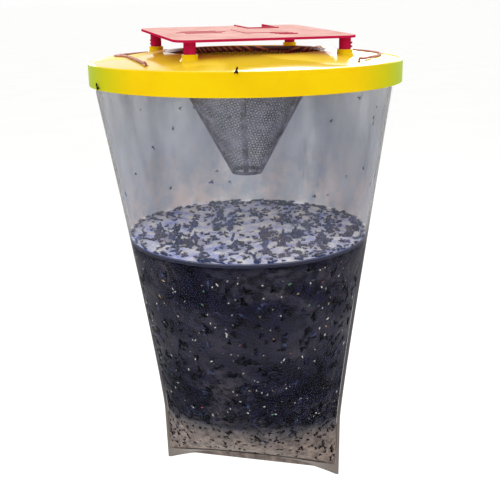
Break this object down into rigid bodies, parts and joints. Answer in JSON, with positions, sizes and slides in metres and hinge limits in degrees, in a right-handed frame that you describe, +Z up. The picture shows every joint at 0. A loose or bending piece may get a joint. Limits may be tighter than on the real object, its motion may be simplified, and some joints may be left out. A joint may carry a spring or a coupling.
{
  "type": "hanging insect bag trap",
  "caption": "Round press-fit lid with a raised roof plate on telescoping legs, a net funnel and a tapered clear film pouch holding bait liquid, hung by cords.",
  "frame": {"origin": "on the lid's axis, level with the top of the lid's rim, where the trap hangs from", "axes": "+Z up along the lid's axis, +X along the roof plate's front edge to the right, +Y from the roof's front edge to its higher back edge"},
  "size_m": [0.19, 0.19, 0.3011],
  "materials": {
    "yellow_plastic": "glossy injection-moulded polypropylene, warm yellow",
    "red_plastic": "glossy injection-moulded polypropylene, crimson",
    "net": "woven dark net, about 2 mm mesh",
    "film": "clear, slightly wrinkled polyethylene film",
    "liquid": "dark, cloudy bait liquid",
    "catch": "pale foam crowded with dark insects",
    "sludge": "brown sediment with dark specks",
    "cord": "thin dark red twine",
    "insect": "dark insect bodies"
  },
  "bodies": {
    "trap": {"lid": "yellow_plastic", "funnel_ring": "red_plastic", "net_funnel": "net", "pouch_ring": "yellow_plastic", "front_film": "film", "back_film": "film", "bait_liquid": "liquid", "floating_catch": "catch", "bottom_sludge": "sludge", "left_cord": "cord", "right_cord": "cord", "left_knots": "cord", "right_knots": "cord", "perched_flies": "insect"},
    "roof": {"roof_plate": "red_plastic"}
  },
  "joints": [
    {"name": "roof_lift", "type": "slide", "parent": "trap", "child": "roof", "axis": [0, 0, 1], "range_m": [-0.0062, 0]}
  ]
}
